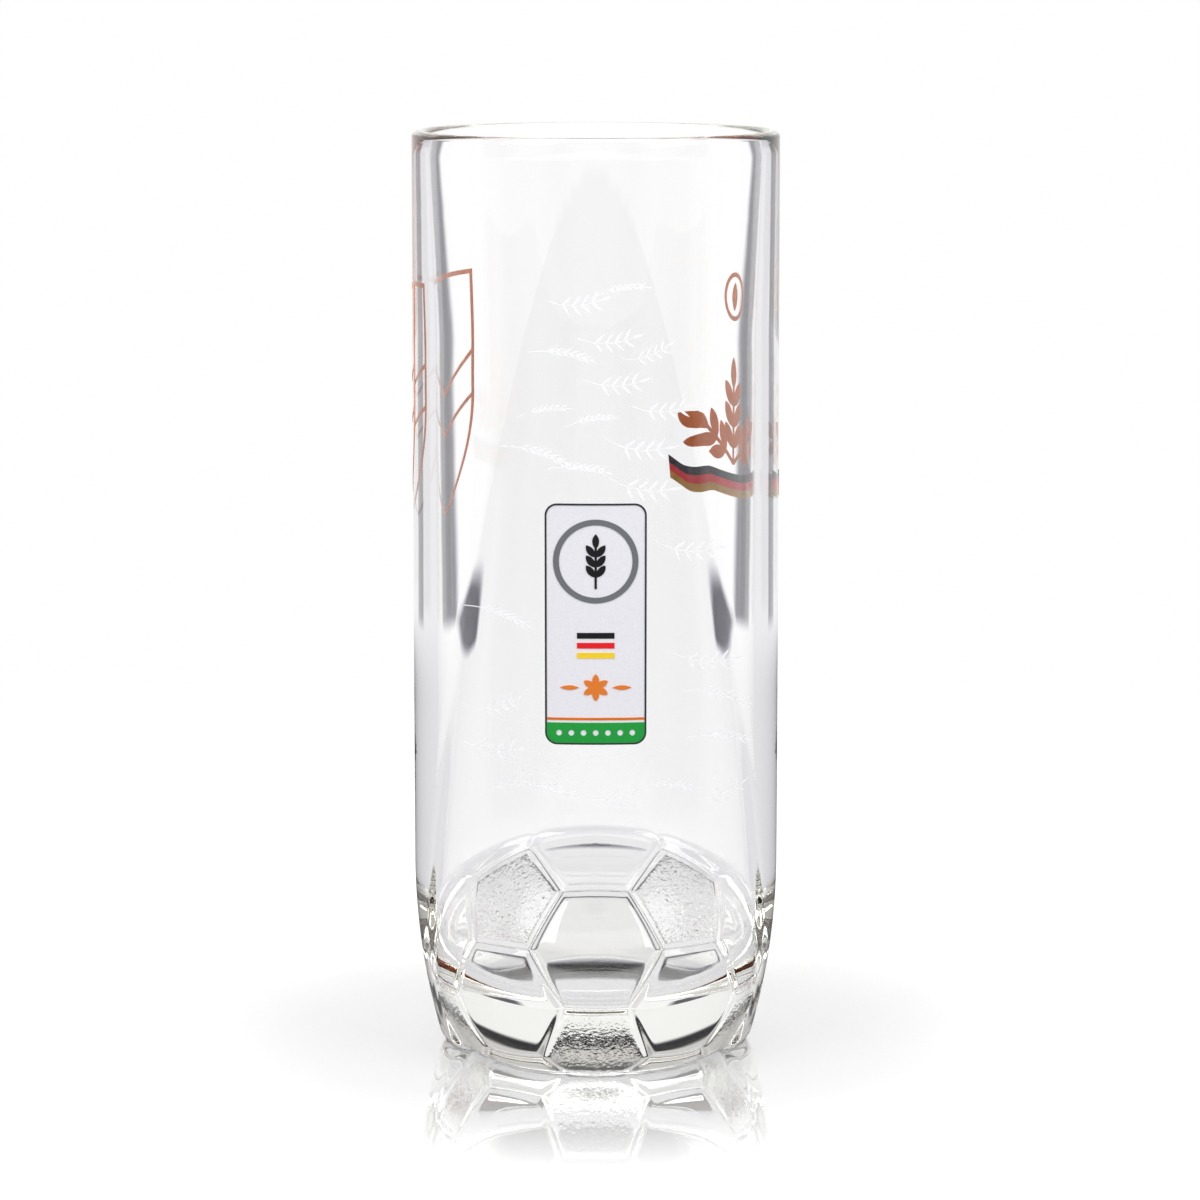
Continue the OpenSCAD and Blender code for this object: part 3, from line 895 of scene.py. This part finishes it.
# %% Helpers for the stage
def smooth(tree, value, low, high):
    """0 below the low value, 1 above the high one, and a soft step between."""
    links = {"Value": value, "From Min": low, "From Max": high}
    return add_node(tree, "ShaderNodeMapRange", links, interpolation_type="SMOOTHSTEP").outputs[0]


def rest(tree, value):
    """What is left of 1."""
    return maths(tree, "SUBTRACT", 1.0, value)


def between(tree, value, edges):
    """1 between the two middle edges, 0 beyond the outer ones, with soft steps."""
    begun = smooth(tree, value, edges[0], edges[1])
    ended = smooth(tree, value, edges[2], edges[3])
    return times(tree, begun, rest(tree, ended))


def light_paths(tree):
    """Three switches: light seen by the camera, light bent through glass, and light mirrored without that."""
    path = add_node(tree, "ShaderNodeLightPath")
    bent = path.outputs["Is Transmission Ray"]
    return path.outputs["Is Camera Ray"], bent, times(tree, path.outputs["Is Glossy Ray"], rest(tree, bent))


def turn_from_back(tree, axes):
    """Turn to either side from straight behind the glass."""
    return maths(tree, "ABSOLUTE", maths(tree, "ARCTAN2", axes.outputs[0], axes.outputs[1]))


print("stage helpers ready")

# %% [markdown]
# ## The table
# The table is a flat white sheet. It mirrors the foot, and the mirror fades outwards. Light that the glass
# bends meets dark spokes on it, a shade near the glass and a short strip of painted shadow under the foot.
# Light that was also mirrored inside the glass meets a further shade, and light that is only mirrored meets a
# dark front.

# %% Spokes on the table
# A pair of distances from the glass's axis, in metres, says where a change begins and where it is complete.
# Here the spokes behind the glass begin. Their turns say where one begins, is full, still is, and has ended
FAR_SPOKE_RUN = (0.52, 0.56)
FAR_SPOKE_TURNS = tuple(np.radians((15, 18, 27, 30)).tolist())
FAR_SPOKE_DEPTH = 0.88
# Here the spokes in front of the glass begin. They are the crests of a wave that runs round the glass
FRONT_SPOKE_RUN = (0.06, 0.4)
FRONT_SPOKE_WAVES = 8.0
FRONT_SPOKE_CREST = (0.3, 0.8)
FRONT_SPOKE_DEPTH = 0.7


def spoke_shade(tree, away, axes):
    """Depth of the dark spokes. Those behind the glass are placed for the camera, and those in front lie
    between the main directions."""
    behind = maths(tree, "GREATER_THAN", axes.outputs[1], 0.0)
    turn = turn_from_back(tree, axes)
    spoke = between(tree, turn, FAR_SPOKE_TURNS)
    far = times(tree, spoke, smooth(tree, away, *FAR_SPOKE_RUN), FAR_SPOKE_DEPTH)
    wave = times(tree, maths(tree, "COSINE", times(tree, turn, FRONT_SPOKE_WAVES)), -1.0)
    crest = smooth(tree, wave, *FRONT_SPOKE_CREST)
    front = times(tree, crest, smooth(tree, away, *FRONT_SPOKE_RUN), FRONT_SPOKE_DEPTH)
    return maths(tree, "ADD", times(tree, behind, far), times(tree, rest(tree, behind), front))


print("spokes begin", FAR_SPOKE_RUN[0], "m behind the glass and", FRONT_SPOKE_RUN[0], "m in front of it")

# %% Shades on the table
# The shade close to the glass fades out
NEAR_SHADE = (0.03, 0.2)
NEAR_SHADE_DEPTH = 0.24
# The shade for light mirrored inside the glass begins. It has one depth behind the glass and one in front
INNER_SHADE = (0.08, 0.16)
INNER_SHADE_DEPTH = (0.2, 0.65)
# A short strip of painted shadow on the table under the glass: how far behind the axis it lies, half its
# width and length, and where its sides and ends fade, as shares of these
PAINTED_SHADOW_BACK = 0.0082
PAINTED_SHADOW_HALF_WIDTH = 0.0019
PAINTED_SHADOW_HALF_LENGTH = 0.015
PAINTED_SHADOW_SIDE_FADE = (0.7, 1.3)
PAINTED_SHADOW_END_FADE = (0.8, 1.0)
# How white the table is for bent light where nothing shades it
BENT_WHITE = 1.07


def inner_shade(tree, away, axes):
    """Depth of the shade for bent light that was also mirrored inside the glass."""
    mirrors = add_node(tree, "ShaderNodeLightPath").outputs["Glossy Depth"]
    ahead = maths(tree, "LESS_THAN", axes.outputs[1], 0.0)
    depth = stretch(tree, ahead, INNER_SHADE_DEPTH)
    return times(tree, maths(tree, "MINIMUM", mirrors, 1.0), smooth(tree, away, *INNER_SHADE), depth)


def beside_painted_shadow(tree, axes):
    """0 on the strip of painted shadow under the foot, and 1 beside it."""
    across = maths(tree, "ABSOLUTE", maths(tree, "SUBTRACT", axes.outputs[1], PAINTED_SHADOW_BACK))
    along = maths(tree, "ABSOLUTE", axes.outputs[0])
    sides = smooth(tree, across, *(share * PAINTED_SHADOW_HALF_WIDTH for share in PAINTED_SHADOW_SIDE_FADE))
    ends = smooth(tree, along, *(share * PAINTED_SHADOW_HALF_LENGTH for share in PAINTED_SHADOW_END_FADE))
    return maths(tree, "MAXIMUM", sides, ends)


def bent_level(tree, away, axes):
    """How white the table is for light that the glass bends."""
    near = times(tree, rest(tree, smooth(tree, away, *NEAR_SHADE)), NEAR_SHADE_DEPTH)
    shades = [near, spoke_shade(tree, away, axes), inner_shade(tree, away, axes)]
    # The strip under the foot is a painted shadow
    return times(tree, *[rest(tree, shade) for shade in shades], beside_painted_shadow(tree, axes), BENT_WHITE)


# Size of the strip of painted shadow under the foot
print("joint:", round(2 * PAINTED_SHADOW_HALF_LENGTH / MM, 1), "by", round(2 * PAINTED_SHADOW_HALF_WIDTH / MM, 1), "mm")

# %% Dark front of the table
# The dark for mirrored light fades out, but in a wedge to the front, given as sideways over forwards, it
# goes on
DARK_FRONT = (0.42, 0.6)
DARK_FRONT_WEDGE = (1.0, 2.0)
DARK_FRONT_DEPTH = 0.9
LEAST_FORWARD = 0.001


def mirror_level(tree, away, axes):
    """How white the table is for light that the glass mirrors."""
    forward = maths(tree, "MAXIMUM", times(tree, axes.outputs[1], -1.0), LEAST_FORWARD)
    slant = maths(tree, "DIVIDE", maths(tree, "ABSOLUTE", axes.outputs[0]), forward)
    close = rest(tree, smooth(tree, away, *DARK_FRONT))
    wedge = rest(tree, smooth(tree, slant, *DARK_FRONT_WEDGE))
    return rest(tree, times(tree, maths(tree, "MAXIMUM", close, wedge), DARK_FRONT_DEPTH))


print("dark front: full to", DARK_FRONT[0], "m, gone by", DARK_FRONT[1], "m beside the wedge")

# %% Make the table
FLOOR_HALF = 3.0
FLOOR_DROP = 0.2 * MM
FLOOR_COLOUR = (0.8, 0.8, 0.8, 1)
FLOOR_ROUGHNESS = 0.5
TABLE_GLOW = 0.2
# How white the table is for light from matt surfaces, and the tint of its shades
TABLE_BOUNCE = 0.5
SHADE_TINT = (0.85, 0.82, 1, 1)
# The table's own shading gives way to plain white
LIT_TABLE = (0.1, 0.45)
# The mirror fades out
MIRROR_TABLE = (0.045, 0.14)
MIRROR_SHARE = 0.7
MIRROR_ROUGHNESS = 0.015


def table_finish():
    material, tree, shader = new_material("white_table")
    camera, bent, mirrored = light_paths(tree)
    place = add_node(tree, "ShaderNodeTexCoord").outputs["Object"]
    away = add_node(tree, "ShaderNodeVectorMath", {0: place}, operation="LENGTH").outputs["Value"]
    axes = add_node(tree, "ShaderNodeSeparateXYZ", {0: place})
    # Level of white that each kind of light meets
    matt = rest(tree, maths(tree, "MAXIMUM", camera, maths(tree, "MAXIMUM", bent, mirrored)))
    level = maths(tree, "ADD", camera, times(tree, bent, bent_level(tree, away, axes)))
    level = maths(tree, "ADD", level, times(tree, mirrored, mirror_level(tree, away, axes)))
    level = maths(tree, "ADD", level, times(tree, matt, TABLE_BOUNCE))
    tint = mix_colours(tree, level, SHADE_TINT, WHITE)
    white = add_node(tree, "ShaderNodeEmission", {"Color": tint, "Strength": level})
    # The camera sees a lit table near the glass, so that the glass has a shadow
    shader.inputs["Base Color"].default_value = FLOOR_COLOUR
    shader.inputs["Roughness"].default_value = FLOOR_ROUGHNESS
    shader.inputs["Specular IOR Level"].default_value = 0
    shader.inputs["Emission Color"].default_value = WHITE
    shader.inputs["Emission Strength"].default_value = TABLE_GLOW
    plain = maths(tree, "MAXIMUM", smooth(tree, away, *LIT_TABLE), rest(tree, camera))
    table = add_node(tree, "ShaderNodeMixShader", {0: plain, 1: shader.outputs[0], 2: white.outputs[0]})
    gloss = add_node(tree, "ShaderNodeBsdfGlossy", {"Roughness": MIRROR_ROUGHNESS})
    share = times(tree, rest(tree, smooth(tree, away, *MIRROR_TABLE)), camera, MIRROR_SHARE)
    both = add_node(tree, "ShaderNodeMixShader", {0: share, 1: table.outputs[0], 2: gloss.outputs[0]})
    tree.links.new(both.outputs[0], tree.nodes["Material Output"].inputs["Surface"])
    return material


def make_floor():
    mesh = bpy.data.meshes.new("floor")
    corners = [(FLOOR_HALF * x, FLOOR_HALF * y, -FLOOR_DROP) for x, y in ((-1, -1), (1, -1), (1, 1), (-1, 1))]
    mesh.from_pydata(corners, [], [(0, 1, 2, 3)])
    mesh.materials.append(table_finish())
    floor = bpy.data.objects.new("floor", mesh)
    scene.collection.objects.link(floor)
    return floor


floor = make_floor()
print("table finish:", len(floor.data.materials[0].node_tree.nodes), "nodes")

# %% [markdown]
# ## The room
# The room is white to the camera and to light that the glass mirrors. Light that the glass bends meets a dark
# rail a little above the table, a grey wall over it and white at the top. Straight behind the glass the rail
# hangs lower and the wall is darker. Matt surfaces, such as the prints, get an even grey light from the room.

# %% Make the room
AMBIENT = 0.6
# Colours of the room by the sine of the angle above the table, for bent light
ROOM = [(-1.0, (1, 1, 1)), (0.15, (1, 1, 1)), (0.165, (0.015, 0.015, 0.02)), (0.215, (0.02, 0.02, 0.02)),
        (0.24, (0.72, 0.7, 0.68)), (0.5, (0.6, 0.59, 0.58)), (0.7, (0.75, 0.74, 0.73)), (0.85, (1, 1, 1))]
# Straight behind the glass the rail hangs lower by this much, and the wall over it is darker
STRAIGHT_TURN = tuple(np.radians((7, 14)).tolist())
RAIL_DIP = 0.075
STRAIGHT_SHADE = (0.22, 0.25)
STRAIGHT_SHADE_DEPTH = 0.8
# A sine runs from -1 to 1 and a colour ramp from 0 to 1
RAMP_MIDDLE = 0.5


def room_colours(tree, sine):
    """Colour of the room at the sine of an angle above the table."""
    place = maths(tree, "MULTIPLY_ADD", sine, RAMP_MIDDLE, RAMP_MIDDLE)
    ramp = add_node(tree, "ShaderNodeValToRGB", {0: place})
    while len(ramp.color_ramp.elements) < len(ROOM):
        ramp.color_ramp.elements.new(RAMP_MIDDLE)
    for element, (height, colour) in zip(ramp.color_ramp.elements, ROOM):
        element.position = height / 2 + RAMP_MIDDLE
        element.color = colour + (1,)
    return ramp.outputs[0]


def make_world():
    world = bpy.data.worlds.new("white_room")
    world.use_nodes = True
    tree = world.node_tree
    camera, bent, mirrored = light_paths(tree)
    direction = add_node(tree, "ShaderNodeTexCoord").outputs["Generated"]
    axes = add_node(tree, "ShaderNodeSeparateXYZ", {0: direction})
    sine = axes.outputs[2]
    straight = rest(tree, smooth(tree, turn_from_back(tree, axes), *STRAIGHT_TURN))
    colours = room_colours(tree, maths(tree, "MULTIPLY_ADD", straight, RAIL_DIP, sine))
    lit = rest(tree, times(tree, straight, smooth(tree, sine, *STRAIGHT_SHADE), STRAIGHT_SHADE_DEPTH))
    wall = add_node(tree, "ShaderNodeVectorMath", {0: colours, "Scale": lit}, operation="SCALE").outputs[0]
    room = mix_colours(tree, bent, (AMBIENT, AMBIENT, AMBIENT, 1), wall)
    seen = mix_colours(tree, maths(tree, "MAXIMUM", camera, mirrored), room, WHITE)
    tree.links.new(seen, tree.nodes["Background"].inputs["Color"])
    world.cycles.sampling_method = "NONE"
    scene.world = world


make_world()
print("room of", len(ROOM), "bands")

# %% [markdown]
# ## Lamps
# Two soft boxes in front and a wide one overhead light the prints evenly, at the level where a colour shows
# about as it is written. The wide one is also what the top of the ball mirrors. In thick glass light bounces
# many times before it leaves, so many bounces are allowed.

# %% Lamps
# Name, size in metres, power in watts, place in metres
LAMPS = [("soft_box_left", 0.9, 11, (-1.0, -1.0, 0.8)), ("soft_box_right", 0.9, 10, (1.1, -0.9, 0.7)),
         ("soft_box_top", 2.0, 19, (0.0, 0.0, 1.5))]
LAMP_AIM = (0, 0, 0.09)
MOST_BOUNCES = 32
MOST_GLOSSY_BOUNCES = 24


def make_lamp(name, size, power, place):
    data = bpy.data.lights.new(name, "AREA")
    data.size = size
    data.energy = power
    lamp = bpy.data.objects.new(name, data)
    lamp.location = place
    aim = np.array(LAMP_AIM) - np.array(place)
    lamp.rotation_euler = (math.atan2(math.hypot(aim[0], aim[1]), -aim[2]), 0, math.atan2(-aim[0], aim[1]))
    scene.collection.objects.link(lamp)


for row in LAMPS:
    make_lamp(*row)
scene.cycles.max_bounces = MOST_BOUNCES
scene.cycles.glossy_bounces = MOST_GLOSSY_BOUNCES
scene.cycles.transmission_bounces = MOST_BOUNCES
print("lamps:", len(LAMPS))
